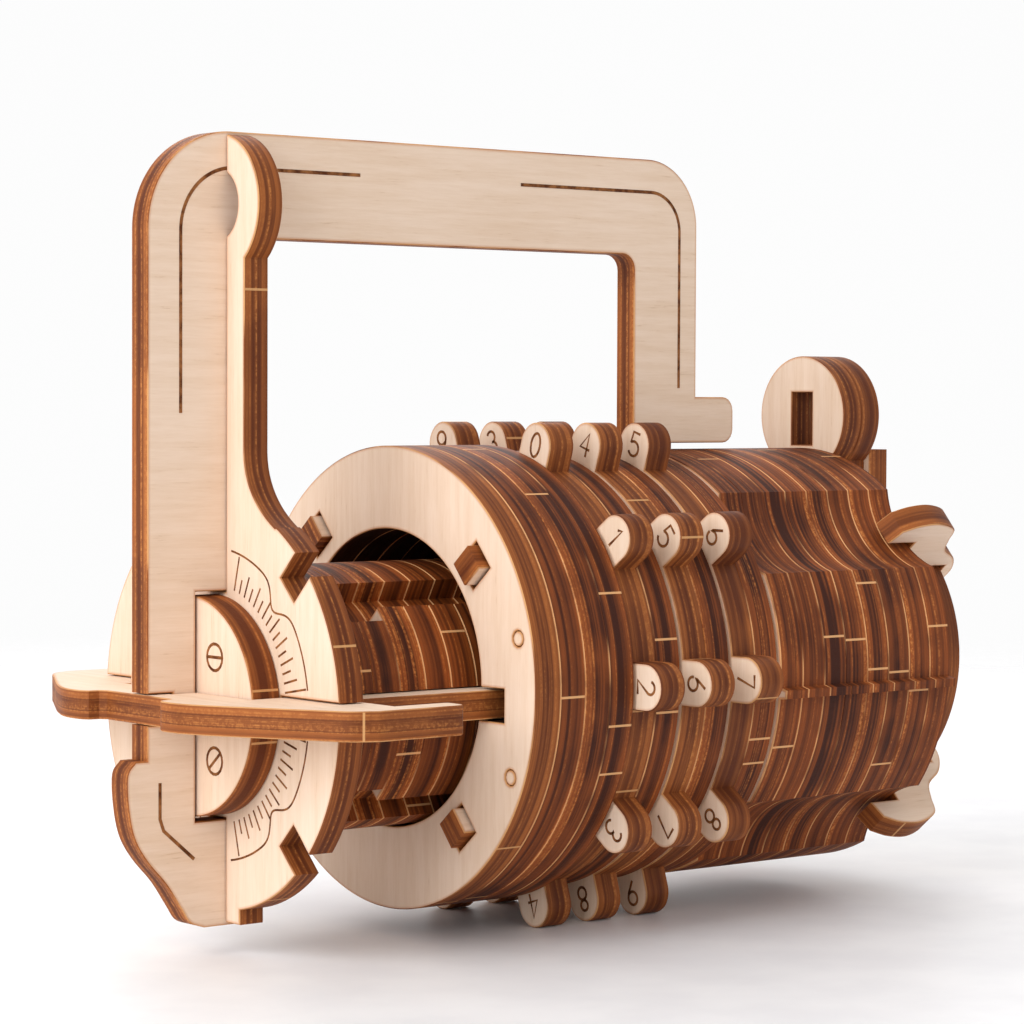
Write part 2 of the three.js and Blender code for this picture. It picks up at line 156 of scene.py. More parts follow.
def sheet(node, outline, holes, thickness, placing, material, body, marks=2, at=()):
    made = bmesh.new()
    ply = made.verts.layers.float.new("ply")
    halo = made.verts.layers.float.new("halo")
    edge = made.faces.layers.float.new("edge")
    rim = made.faces.layers.float.new("rim")
    mark = made.faces.layers.float.new("mark")
    sort = made.faces.layers.float.new("sort")
    bore_shade = made.faces.layers.float.new("bore_shade")
    is_bored = material is stack_ply or node == "front_cover"
    loops = [fine_loop(outline, False), *(fine_loop(h, True) for h in holes)]
    picked = {scatter.randrange(len(loops[0])) for _ in range(marks)}
    picked |= {min(range(len(loops[0])), key=lambda i: (loops[0][i] - p).length) for p in at}
    for i in picked:
        loops[0][i - 1] = loops[0][i] + (loops[0][i - 1] - loops[0][i]).normalized() * MARK_WIDTH
    piece_sort = scatter.random()

    def ring(points, depth, near_edge):
        verts = [made.verts.new(placing(p.x, p.y, depth) * MM) for p in points]
        for v in verts:
            v[ply] = depth / thickness
            v[halo] = near_edge
        return verts

    def band(one, two, is_edge, is_rim, snapped=(), bore_shaded=0.0):
        for i in range(len(one)):
            face = made.faces.new((one[i - 1], one[i], two[i], two[i - 1]))
            face[edge], face[rim], face[sort] = is_edge, is_rim, piece_sort
            face[mark] = 1.0 if i in snapped else 0.0
            face[bore_shade] = bore_shaded

    inner_loops = {0: [], 1: []}
    for index, loop in enumerate(loops):
        corner = inset(loop, CORNER)
        inner = inset(loop, HALO)
        front = [ring(inner, 0, 0.0), ring(corner, 0, 1.0), ring(loop, CORNER, 1.0)]
        back = [
            ring(loop, thickness - CORNER, 1.0),
            ring(corner, thickness, 1.0),
            ring(inner, thickness, 0.0),
        ]
        rings = front + back
        snapped = picked if index == 0 else ()
        band(rings[0], rings[1], 0.0, 0.0)
        band(rings[1], rings[2], 1.0, 1.0)
        # The bore's wall (the first hole) of a bored piece carries the mask for painted shade.
        band(rings[2], rings[3], 1.0, 0.0, snapped, 1.0 if index == 1 and is_bored else 0.0)
        band(rings[3], rings[4], 1.0, 1.0)
        band(rings[4], rings[5], 0.0, 0.0)
        inner_loops[0].append((inner, rings[0]))
        inner_loops[1].append((inner, rings[5]))
    flat = [[p.to_3d() for p in inner] for inner, _ in inner_loops[0]]
    triangles = tessellate_polygon(flat)
    for side in inner_loops.values():
        verts = [v for _, ring_verts in side for v in ring_verts]
        for triangle in triangles:
            face = made.faces.new([verts[i] for i in triangle])
            face[sort] = piece_sort
    bmesh.ops.recalc_face_normals(made, faces=made.faces)
    return finish(node + "_sheet", made, material, body, node)


# Shader maths: a socket that Python's operators work on, and one method for every other node.
class Socket:
    def __init__(self, tree, link):
        self.tree = tree
        self.link = link

    def node(self, kind, settings=(), output=0, **inputs):
        made = self.tree.nodes.new(kind)
        for key, value in dict(settings).items():
            setattr(made, key, value)
        for key, value in inputs.items():
            socket = made.inputs[int(key[1:]) if key[1:].isdigit() else key.replace("_", " ")]
            if isinstance(value, Socket):
                self.tree.links.new(value.link, socket)
            else:
                socket.default_value = value
        return Socket(self.tree, made.outputs[output])

    def maths(self, operation, a, b=0.0, clamp=False):
        return self.node("ShaderNodeMath", {"operation": operation, "use_clamp": clamp}, i0=a, i1=b)

    def __add__(self, other):
        return self.maths("ADD", self, other)

    def __radd__(self, other):
        return self.maths("ADD", other, self)

    def __sub__(self, other):
        return self.maths("SUBTRACT", self, other)

    def __rsub__(self, other):
        return self.maths("SUBTRACT", other, self)

    def __mul__(self, other):
        return self.maths("MULTIPLY", self, other)

    def __rmul__(self, other):
        return self.maths("MULTIPLY", other, self)

    def clamped(self):
        return self.maths("ADD", self, 0.0, clamp=True)

    def step(self, low, high, bottom=0.0, top=1.0):
        return self.node("ShaderNodeMapRange", {"interpolation_type": "SMOOTHSTEP"},
                         Value=self, From_Min=low, From_Max=high, To_Min=bottom, To_Max=top)

    def mix(self, a, b):
        return self.node("ShaderNodeMix", {"data_type": "RGBA"}, output=2, i0=self, i6=a, i7=b)

    def attribute(self, name):
        return self.node("ShaderNodeAttribute", {"attribute_name": name}, output=2)

    def noise(self, vector, scale, detail=3.0, roughness=0.55):
        return self.node("ShaderNodeTexNoise", Vector=vector, Scale=scale, Detail=detail, Roughness=roughness)


def linear(red, green, blue):
    return [*(math.pow(c / 255, 2.2) for c in (red, green, blue)), 1.0]


# Birch plywood, unvarnished: pale faces with fine grain, and edges that the laser browned in bands of veneer.
# "edge" is 1 on a cut edge, "rim" 1 along its corners, "mark" 1 on the pale stubs where a piece was snapped
# out, and the bore mask 1 on the walls of the barrel's bore, where a near-black colour is painted shade.
GRAIN_SCALE = 70
GRAIN_STRETCH = 14.0  # how much longer than wide the figure of the grain is
FINE_SCALE = 260
SPECKLE_SCALE = 2300.0
RELIEF_DEPTH = 0.0002
# Near-black painted shade for the walls of the barrel's bore.
BORE_SHADE = (22, 12, 7)


def plywood(name, grain, pale, browns, stain=0.5):
    material = bpy.data.materials.new(name)
    material.use_nodes = True
    tree = material.node_tree
    shader = tree.nodes["Principled BSDF"]
    start = Socket(tree, None)
    place = start.node("ShaderNodeTexCoord", output=3)
    along = [1.0 if axis in grain else GRAIN_STRETCH for axis in "XYZ"]
    grain_place = start.node("ShaderNodeMapping", Vector=place, Scale=[GRAIN_SCALE * s for s in along])
    fine_place = start.node("ShaderNodeMapping", Vector=place, Scale=[FINE_SCALE * s for s in along])
    blotch = start.noise(place, 45.0, 4.0)
    streak = start.noise(grain_place, 1.0, 5.0, 0.6)
    fine = start.noise(fine_place, 1.0, 3.0, 0.7)
    face_tone = streak.step(0.3, 0.75) * 0.55 + fine.step(0.35, 0.75) * 0.3 + blotch.step(0.3, 0.7) * 0.25
    face = face_tone.clamped().mix(linear(*pale[0]), linear(*pale[1]))
    fleck = fine.step(0.62, 0.72) * streak.step(0.45, 0.6)
    face = (fleck * 0.35).mix(face, linear(*pale[2]))
    halo = start.attribute("halo")
    face = (halo.step(0.0, 1.0) * stain).mix(face, linear(*browns[2]))

    # The veneers show as uneven bands along the edge, and the beam has left fine speckle in them.
    ply = start.attribute("ply")
    sort = start.attribute("sort")
    speckle = start.noise(place, SPECKLE_SCALE, 2.0, 0.7)
    broad = start.noise(place, 75.0, 3.0)
    across = ply * 5.0 + sort * 37.0
    band_place = start.node("ShaderNodeCombineXYZ", i0=across, i1=broad * 0.9, i2=sort * 11.0)
    band = start.noise(band_place, 1.0, 4.0, 0.6)
    core = ply.step(0.3, 0.36) * (1.0 - ply.step(0.64, 0.7))
    front_glue = ply.step(0.27, 0.31) * (1.0 - ply.step(0.32, 0.37))
    back_glue = ply.step(0.63, 0.68) * (1.0 - ply.step(0.69, 0.74))
    glue = front_glue + back_glue
    tone = band.step(0.3, 0.7) * 0.75 + broad.step(0.35, 0.65) * 0.35 - core * (0.12 + 0.3 * sort)
    edge_colour = tone.clamped().mix(linear(*browns[0]), linear(*browns[1]))
    warm = (band.step(0.52, 0.68) * speckle.step(0.42, 0.62)).clamped()
    edge_colour = (warm * 0.8).mix(edge_colour, linear(*browns[2]))
    edge_colour = (glue * 0.6 * (0.4 + sort)).clamped().mix(edge_colour, linear(*browns[0]))
    # The corners' lighter tone is partly the uncharred veneer and partly a painted highlight, where light
    # catches the corner.
    rim = start.attribute("rim")
    edge_colour = (rim * broad.step(0.4, 0.6) * 0.8).mix(edge_colour, linear(*browns[3]))
    # Painted shade: the bore's walls are mixed most of the way to near-black, for the shade inside the
    # barrel.
    bore_shade = start.attribute("bore_shade")
    edge_colour = (bore_shade * 0.85).mix(edge_colour, linear(*BORE_SHADE))
    mark = start.attribute("mark")
    edge_colour = (mark * 0.8).mix(edge_colour, linear(*browns[3]))
    edge = start.attribute("edge")
    colour = edge.mix(face, edge_colour)
    roughness = (0.6 + 0.15 * speckle) * (1.0 - edge * 0.1)
    relief = (streak * 0.25 + fine * 0.35) * (1.0 - edge) + (speckle * 0.8 + band * 0.8) * edge
    bump = start.node("ShaderNodeBump", Strength=0.28, Distance=RELIEF_DEPTH, Height=relief)
    tree.links.new(colour.link, shader.inputs["Base Color"])
    tree.links.new(roughness.link, shader.inputs["Roughness"])
    tree.links.new(bump.link, shader.inputs["Normal"])
    shader.inputs["Specular IOR Level"].default_value = 0.22
    return material


# Faces run from pale to a darker fleck; edges from nearly black, through two browns, to a light rim tone that
# is both uncharred veneer and painted highlight.
PALE = [(235, 211, 190), (222, 193, 166), (182, 141, 104)]
BROWNS = [(92, 46, 22), (160, 92, 46), (194, 124, 66), (214, 160, 106)]
STACK_BROWNS = [(62, 28, 12), (154, 80, 36), (212, 134, 70), (236, 178, 122)]
cross_ply = plywood("birch_cross", "Z", PALE, BROWNS)
stack_ply = plywood("birch_stack", "Z", PALE, STACK_BROWNS, 0.75)

BARREL_ROLL = -4.6
FRONT_RADIUS = 28.3
BORE_RADIUS = 18.2
SLOT = 0.15
RIB_ANGLES = {"upper_near": 45, "lower_near": -45, "upper_far": 135, "lower_far": -135}
RIB_INNER = 20.5
RIB_OUTER = 24.0
RIB_PLAY = 0.3


def bore_with_notches(reach):
    half = PLATE / 2 + 2 * SLOT
    low, near_high, far_high = -HEAD_DROP - half, -HEAD_DROP + half, HEAD_DROP + half

    def angle_at(z):
        return math.degrees(math.asin(z / BORE_RADIUS))

    return [
        point(reach, near_high),
        *arc(0, 0, BORE_RADIUS, angle_at(near_high), 180 - angle_at(far_high)),
        point(-reach, far_high),
        point(-reach, low),
        *arc(0, 0, BORE_RADIUS, 180 - angle_at(low), 360 + angle_at(low)),
        point(reach, low),
    ]


def radial_slot(inner, outer, width, angle):
    corners = [(inner, -width / 2), (outer, -width / 2), (outer, width / 2), (inner, width / 2)]
    return [Matrix.Rotation(math.radians(angle), 2) @ point(*c) for c in corners]


def rib_slots():
    return [radial_slot(RIB_INNER - RIB_PLAY, RIB_OUTER + RIB_PLAY, PLATE + 2 * RIB_PLAY, angle + BARREL_ROLL)
            for angle in RIB_ANGLES.values()]


DOWEL_RADIUS = 0.9
DOWEL_HOLE = 1.0
DOWEL_CIRCLE = 25.8
DOWEL_ANGLES = {"upper_near": 18.5, "lower_near": -18.5, "upper_far": 161.5, "lower_far": 198.5}
DOWELS = {side: polar(DOWEL_CIRCLE, angle + BARREL_ROLL) for side, angle in DOWEL_ANGLES.items()}
FRONT_LAYERS = ["front_cover", "front_layer_2", "front_layer_3", "front_layer_4"]
COVER_REACH = 22.5
LAYER_REACH = 25.9
for index, node in enumerate(FRONT_LAYERS):
    dowel_holes = [circle(DOWEL_HOLE, p.x, p.y) for p in DOWELS.values()]
    holes = [bore_with_notches(LAYER_REACH if index else COVER_REACH), *rib_slots(), *dowel_holes]
    sheet(node, circle(FRONT_RADIUS), holes, LAYER, cross(start_of(node)), stack_ply if index else cross_ply,
          "barrel", marks=5)
for side, p in DOWELS.items():
    length = len(FRONT_LAYERS) * LAYER
    sheet(f"dowel_{side}", circle(DOWEL_RADIUS, p.x, p.y), [], length, cross(0),
          cross_ply, "barrel", marks=0)


# Back of the barrel: eight plywood layers with four lobes, hollows between them for the ribs' ears, and a
# small index nib on the near side that the digits are read against. The last one closes the arm slots.
LOBE_RADIUS = 27.6
LOBE_HALF_ANGLE = 31.5
VALLEY_RADIUS = 24.9
NIB_HEIGHT = 1.1
NIB_HALF_ANGLE = 1.5
NIB_TAPER = 0.7
LOBES = 4


def lobed_outline():
    hollow_half = math.radians(180 / LOBES - LOBE_HALF_ANGLE)
    half_chord = LOBE_RADIUS * math.sin(hollow_half)
    depth = LOBE_RADIUS * math.cos(hollow_half) - VALLEY_RADIUS
    radius = (half_chord ** 2 + depth ** 2) / (2 * depth)
    sweep = math.degrees(math.asin(half_chord / radius))
    outline = []
    for middle in (BARREL_ROLL + 90 * lobe for lobe in range(LOBES)):
        first, last = middle - LOBE_HALF_ANGLE, middle + LOBE_HALF_ANGLE
        if middle == BARREL_ROLL:
            outline += arc(0, 0, LOBE_RADIUS, first, middle - NIB_HALF_ANGLE)
            nib = [middle + side * NIB_TAPER * NIB_HALF_ANGLE for side in (-1, 1)]
            outline += [polar(LOBE_RADIUS + NIB_HEIGHT, angle) for angle in nib]
            outline += arc(0, 0, LOBE_RADIUS, middle + NIB_HALF_ANGLE, last)
        else:
            outline += arc(0, 0, LOBE_RADIUS, first, last)
        centre = polar(VALLEY_RADIUS + radius, middle + 45)
        outline += arc(*centre, radius, middle + 225 + sweep, middle + 225 - sweep)[1:-1]
    return outline


BACK_LAYERS = 8
for index in range(BACK_LAYERS):
    node = f"back_layer_{index + 1}"
    bore = circle(BORE_RADIUS) if index == BACK_LAYERS - 1 else bore_with_notches(LAYER_REACH)
    sheet(node, lobed_outline(), [bore, *rib_slots()], LAYER, cross(start_of(node)),
          stack_ply, "barrel", marks=5)


# The eye for the shackle's tang: two plywood plates glued face to face, whose round heads stand above the
# barrel. The back cover is glued behind them, and its neck backs the eye's.
END_RADIUS = 19.9
EYE_HEIGHT = 32.0
EYE_RADIUS = 8.0
EYE_NECK = 5.2
EYE_PLATE_BORE = 11.0
EYE_SLOT_HALF = 1.95
EYE_SLOT_LOW, EYE_SLOT_HIGH = 28.0, 35.1


def neck_from_disc(half):
    return point(half, math.sqrt(END_RADIUS ** 2 - half ** 2))


def disc_below(half):
    start = neck_from_disc(half)
    turn = math.degrees(math.atan2(start.y, start.x))
    return arc(0, 0, END_RADIUS, 180 - turn, 360 + turn)


eye_turn = math.degrees(math.asin(EYE_NECK / EYE_RADIUS))
eye_outline = [*disc_below(EYE_NECK), *arc(0, EYE_HEIGHT, EYE_RADIUS, eye_turn - 90, 270 - eye_turn)]
eye_slot = [
    point(-EYE_SLOT_HALF, EYE_SLOT_LOW),
    point(EYE_SLOT_HALF, EYE_SLOT_LOW),
    point(EYE_SLOT_HALF, EYE_SLOT_HIGH),
    point(-EYE_SLOT_HALF, EYE_SLOT_HIGH),
]
for node in ("eye_plate_front", "eye_plate_rear"):
    sheet(node, eye_outline, [eye_slot, circle(EYE_PLATE_BORE)], PLATE, cross(start_of(node)),
          cross_ply, "barrel")
COVER_NECK, COVER_NECK_TOP = 6.2, 27.4
neck_top = [point(COVER_NECK, COVER_NECK_TOP), point(-COVER_NECK, COVER_NECK_TOP)]
cover_outline = [*disc_below(COVER_NECK), *neck_top]
sheet("back_cover", cover_outline, [], PLATE, cross(start_of("back_cover")), cross_ply, "barrel")


# Four ribs of plywood run through every layer and hold the stack together. Each ends in an ear that lies in a
# hollow of the back layers and hooks round the back cover.
upright_ply = plywood("birch_upright", "X", PALE, BROWNS)
RIB_PROUD = 1.3  # how far a rib stands out of the front cover
RIB_HOOK = 3.6
EAR_GAP = 0.9
EAR = [(2.1, -3.6), (2.1, -0.8), (0.4, 1.6), (-2.6, 3.4), (-3.7, 5.6), (-4.6, 7.9), (-8.2, 9.1), (-11.6, 8.8),
       (-14.2, 7.7)]
BACK_END = start_of("eye_plate_front")
COVER_BACK = start_of("back_cover") + PLATE


def rib_outline():
    front, hook = -RIB_PROUD, COVER_BACK + RIB_PLAY
    return [
        point(front, RIB_INNER),
        point(hook, RIB_INNER),
        point(hook, RIB_INNER - RIB_HOOK),
        *smooth([point(hook + a, RIB_INNER + b) for a, b in EAR]),
        point(BACK_END - 4.6, VALLEY_RADIUS + EAR_GAP),
        point(BACK_END + 0.4, VALLEY_RADIUS + EAR_GAP),
        point(BACK_END + 0.4, RIB_OUTER),
        point(front, RIB_OUTER),
    ]


for side, angle in RIB_ANGLES.items():
    turn = Matrix.Rotation(math.radians(90 - angle - BARREL_ROLL), 3, "X")
    sheet(f"rib_{side}", rib_outline(), [], PLATE,
          lambda a, b, c, turn=turn: turn @ Vector((a, PLATE / 2 - c, b)) + Vector((FRONT_X, 0, BARREL_Z)),
          upright_ply, "barrel")


# Number rings: a digit ring of plywood with ten round tabs, glued to a gate ring that rides on the ribs. The
# digits are engraved, one on each tab, and each gate lets a tooth of the key through.
RING_RADIUS = 27.5
TAB_HALF = 2.85
TAB_CENTRE = 29.75
TAB_COUNT = 10
TAB_ANGLE = 36
DIGIT_RING_BORE = 26.0
GATE_RING_BORE = 24.3
GATE_HALF_ANGLE = 9.8
DIGITS_AT_NIB = (2, 6, 7)
DIGIT_WIDTH = 0.34


def tabbed_outline():
    half = math.degrees(math.asin(TAB_HALF / RING_RADIUS))
    outline = []
    for middle in (TAB_ANGLE * tab for tab in range(TAB_COUNT)):
        tip = polar(TAB_CENTRE, middle)
        outline.append(polar(RING_RADIUS, middle - half))
        outline += arc(*tip, TAB_HALF, middle - 90, middle + 90)
        outline += arc(0, 0, RING_RADIUS, middle + half, middle + TAB_ANGLE - half)[:-1]
    return outline


# Engraved lines: brown lines that the beam left in a face. Each is a flat ribbon that follows its drawn path,
# by a node tree that sweeps a rectangle along the path, and it sinks a little into the face it lies on.
RIBBON_HEIGHT = 0.05
RIBBON_PROUD = 0.03  # how much of that height stands out of the face
LINE_WIDTH = 0.42
ENGRAVING_BROWNS = [(84, 46, 24), (150, 98, 58)]


def engraving_brown():
    material = bpy.data.materials.new("engraved_brown")
    material.use_nodes = True
    tree = material.node_tree
    start = Socket(tree, None)
    tone = start.noise(start.node("ShaderNodeTexCoord", output=3), 900.0, 3.0)
    colour = tone.step(0.3, 0.7).mix(*(linear(*brown) for brown in ENGRAVING_BROWNS))
    shader = tree.nodes["Principled BSDF"]
    tree.links.new(colour.link, shader.inputs["Base Color"])
    shader.inputs["Roughness"].default_value = 0.8
    shader.inputs["Specular IOR Level"].default_value = 0.2
    return material


def ribbon_tree():
    tree = bpy.data.node_groups.new("engraved_ribbon", "GeometryNodeTree")
    sockets = {}
    inputs = {"Paths": "Geometry", "Width": "Float", "Height": "Float", "Finish": "Material"}
    for name, kind in inputs.items():
        made = tree.interface.new_socket(name, in_out="INPUT", socket_type="NodeSocket" + kind)
        sockets[name] = made.identifier
    tree.interface.new_socket("Ribbons", in_out="OUTPUT", socket_type="NodeSocketGeometry")
    given = tree.nodes.new("NodeGroupInput").outputs
    profile = tree.nodes.new("GeometryNodeCurvePrimitiveQuadrilateral")
    sweep = tree.nodes.new("GeometryNodeCurveToMesh")
    realize = tree.nodes.new("GeometryNodeRealizeInstances")
    paint = tree.nodes.new("GeometryNodeSetMaterial")
    result = tree.nodes.new("NodeGroupOutput")
    sweep.inputs["Fill Caps"].default_value = True
    links = [
        (given["Width"], profile.inputs["Width"]),
        (given["Height"], profile.inputs["Height"]),
        (given["Paths"], sweep.inputs["Curve"]),
        (profile.outputs[0], sweep.inputs["Profile Curve"]),
        (sweep.outputs[0], realize.inputs[0]),
        (realize.outputs[0], paint.inputs["Geometry"]),
        (given["Finish"], paint.inputs["Material"]),
        (paint.outputs[0], result.inputs[0]),
    ]
    for one, two in links:
        tree.links.new(one, two)
    return tree, sockets


engraving = engraving_brown()
ribbon, ribbon_sockets = ribbon_tree()


def engraved(name, lines, placing, body, width=LINE_WIDTH):
    paths = bpy.data.curves.new(name + "_paths", "CURVE")
    paths.dimensions = "3D"
    paths.twist_mode = "Z_UP"
    for line, closed in lines:
        spline = paths.splines.new("POLY")
        spline.points.add(len(line) - 1)
        spline.points.foreach_set("co", [c for p in line for c in (p.x, p.y, 0.0, 1.0)])
        spline.use_cyclic_u = closed
    drawing = bpy.data.objects.new(name + "_paths", paths)
    bpy.context.scene.collection.objects.link(drawing)
    modifier = drawing.modifiers.new("ribbon", "NODES")
    modifier.node_group = ribbon
    modifier[ribbon_sockets["Width"]] = width
    modifier[ribbon_sockets["Height"]] = RIBBON_HEIGHT
    modifier[ribbon_sockets["Finish"]] = engraving
    evaluated = drawing.evaluated_get(bpy.context.evaluated_depsgraph_get())
    swept = bpy.data.meshes.new_from_object(evaluated)
    made = bmesh.new()
    made.from_mesh(swept)
    for v in made.verts:
        v.co = placing(v.co.x, v.co.y, v.co.z + RIBBON_HEIGHT / 2 - RIBBON_PROUD) * MM
    bmesh.ops.recalc_face_normals(made, faces=made.faces)
    bpy.data.objects.remove(drawing)
    bpy.data.curves.remove(paths)
    bpy.data.meshes.remove(swept)
    return finish(name, made, engraving, body)


# One stroke digits, in a box one unit high and 0.6 wide about the middle.
GLYPH_STEP = 0.09


def bend(a, b, radius, start, end):
    return arc(a, b, radius, start, end, GLYPH_STEP)


def glyph(digit):
    turns = [math.radians(t) for t in range(0, 360, 20)]
    bowl = [point(0.28 * math.cos(t), 0.5 * math.sin(t)) for t in turns]
    belly = bend(0, -0.19, 0.31, 128, -150)
    strokes = {
        0: [(bowl, True)],
        1: [([point(-0.14, 0.3), point(0.04, 0.5), point(0.04, -0.5)], False)],
        2: [([*bend(0, 0.24, 0.26, 165, -35), point(-0.28, -0.5), point(0.28, -0.5)], False)],
        3: [([*bend(0, 0.25, 0.25, 150, -85), *bend(0, -0.23, 0.27, 80, -150)], False)],
        4: [([point(0.12, -0.5), point(0.12, 0.5), point(-0.3, -0.16), point(0.3, -0.16)], False)],
        5: [([point(0.24, 0.5), point(-0.18, 0.5), point(-0.22, 0.06), *belly], False)],
        6: [([point(0.16, 0.5), point(-0.2, 0.02), *bend(0, -0.22, 0.28, 150, -190)], False)],
        7: [([point(-0.26, 0.5), point(0.26, 0.5), point(-0.08, -0.5)], False)],
        8: [(bend(0, 0.26, 0.22, 0, 360)[:-1], True), (bend(0, -0.24, 0.26, 0, 360)[:-1], True)],
        9: [([point(-0.16, -0.5), point(0.2, -0.02), *bend(0, 0.22, 0.28, -30, 310)], False)],
    }
    return strokes[digit]


DIGIT_HEIGHT = 3.0
DIGIT_CENTRE = TAB_CENTRE + 0.1
glyphs = [glyph(digit) for digit in range(10)]
for index, at_index in enumerate(DIGITS_AT_NIB):
    ring_body = f"ring_{index + 1}"
    node = f"digit_ring_{index + 1}"
    ring_x = start_of(node)
    sheet(node, tabbed_outline(), [circle(DIGIT_RING_BORE)], LAYER, cross(ring_x),
          cross_ply, ring_body, marks=7)
    node = f"gate_ring_{index + 1}"
    gate = [*arc(0, 0, DIGIT_RING_BORE, -GATE_HALF_ANGLE, GATE_HALF_ANGLE),
            *arc(0, 0, GATE_RING_BORE, GATE_HALF_ANGLE, 360 - GATE_HALF_ANGLE)]
    sheet(node, circle(RING_RADIUS), [gate], LAYER, cross(start_of(node)),
          stack_ply, ring_body, marks=5)
    strokes = []
    for tab in range(TAB_COUNT):
        turn = Matrix.Rotation(math.radians(TAB_ANGLE * tab - 90), 2)
        middle = polar(DIGIT_CENTRE, TAB_ANGLE * tab)
        for line, closed in glyphs[(at_index - tab) % 10]:
            strokes.append(([turn @ (p * DIGIT_HEIGHT) + middle for p in line], closed))
    engraved(f"ring_{index + 1}_digits", strokes, cross(ring_x), ring_body, width=DIGIT_WIDTH)


# The shackle plate: one sheet of plywood with the tall post, the bar, the short post with its tang, and the
# lower end with its stepped edge. The dial and the key plate are slotted across it.
DIAL_FRONT = start_of("dial_plate")
DIAL_BACK = DIAL_FRONT + PLATE
LEFT, RIGHT, TOP = -35.8, 49.3, 66.85
BAR_BOTTOM = 54.55
POST_INNER = 38.4
WINDOW_HALF = 13.4
WINDOW_FRONT = -29.2
KEY_CROSSING = -32.5
key_half = PLATE / 2 + SLOT
TANG_TOP, TANG_BOTTOM, TANG_TIP, TANG_ROUND = 36.25, 30.25, 56.0, 1.8
LOWER_END = -25.85
STEP_EDGE = -5.9
lower_edge = [(-27.9, LOWER_END), (-29.9, -25.1), (-31.2, -23.3), (-33.2, -20.4), (-35.9, -17.4),
              (-37.6, -14.6), (-38.4, -11.0), (-38.5, -7.4), (-37.4, STEP_EDGE)]
shackle_outline = [
    point(LEFT, key_half),
    *arc(LEFT + 11.5, TOP - 11.5, 11.5, 180, 90),
    *arc(RIGHT - 8.5, TOP - 8.5, 8.5, 90, 0),
    point(RIGHT, TANG_TOP),
    *arc(TANG_TIP - TANG_ROUND, TANG_TOP - TANG_ROUND, TANG_ROUND, 90, 0),
    *arc(TANG_TIP - TANG_ROUND, TANG_BOTTOM + TANG_ROUND, TANG_ROUND, 0, -90),
    *arc(POST_INNER + 1, TANG_BOTTOM + 1, 1, -90, -180),
    *arc(POST_INNER - 2, BAR_BOTTOM - 2, 2, 0, 90),
    point(DIAL_BACK, BAR_BOTTOM),
    point(DIAL_BACK, WINDOW_HALF),
    point(WINDOW_FRONT, WINDOW_HALF),
    point(WINDOW_FRONT, -WINDOW_HALF),
    point(DIAL_BACK, -WINDOW_HALF),
    point(DIAL_BACK, LOWER_END),
    *smooth([point(*p) for p in lower_edge]),
    point(LEFT, STEP_EDGE),
    point(LEFT, -key_half),
    point(KEY_CROSSING + SLOT, -key_half),
    point(KEY_CROSSING + SLOT, key_half),
]
sheet("shackle_plate", shackle_outline, [], PLATE, upright, upright_ply, "plunger", marks=3)


# Lines engraved along the shackle's two faces: one up the tall post and along the bar, one along the bar and
# down the short post, and a bent one on the lower end. The bar is plain in the middle.
LINE_INSET = 4.2


def shackle_lines():
    top = TOP - LINE_INSET
    left = [point(LEFT + 4.5, 34.1), *arc(LEFT + 12.0, top - 7.5, 7.5, 180, 90), point(-5.6, top)]
    short = [point(19.4, top), *arc(RIGHT - 8.1, top - 5.0, 5.0, 90, 0), point(RIGHT - 3.1, 37.4)]
    bent = [point(-34.1, -8.5), point(-34.1, -12.7), point(-33.6, -14.1), point(-29.4, -17.7)]
    return [(left, False), (short, False), (bent, False)]


def shackle_face(facing):
    return lambda a, b, c: Vector((FRONT_X + a, facing * (c - PLATE / 2), HEAD_Z + b))


for side, facing in (("near", 1), ("far", -1)):
    engraved(f"shackle_lines_{side}", shackle_lines(), shackle_face(facing), "plunger")


# The dial plate: a notched disc of plywood whose strip runs up the post to a round head. Slots above and
# below straddle the shackle plate. Its face is engraved with a scale and a wavy ring.
DIAL_RADIUS = 24.2
BULB_HEIGHT = 58.35
BULB_RADIUS = 8.3
BULB_HOLE = 4.1
STRIP_HALF = 5.4
FOOT_HALF = 4.6
NOTCH_HALF = 1.85
NOTCH_INNER = 19.9
NOTCH_ANGLE = 45
FLARE_ANGLE = 60.5  # where the disc's edge turns up into the strip
ARM_SLOT = 12.85
FOOT_END = -DIAL_RADIUS - 1.3
straddle = PLATE / 2 + SLOT / 2


def rise(radius, half):
    return math.sqrt(radius ** 2 - half ** 2)


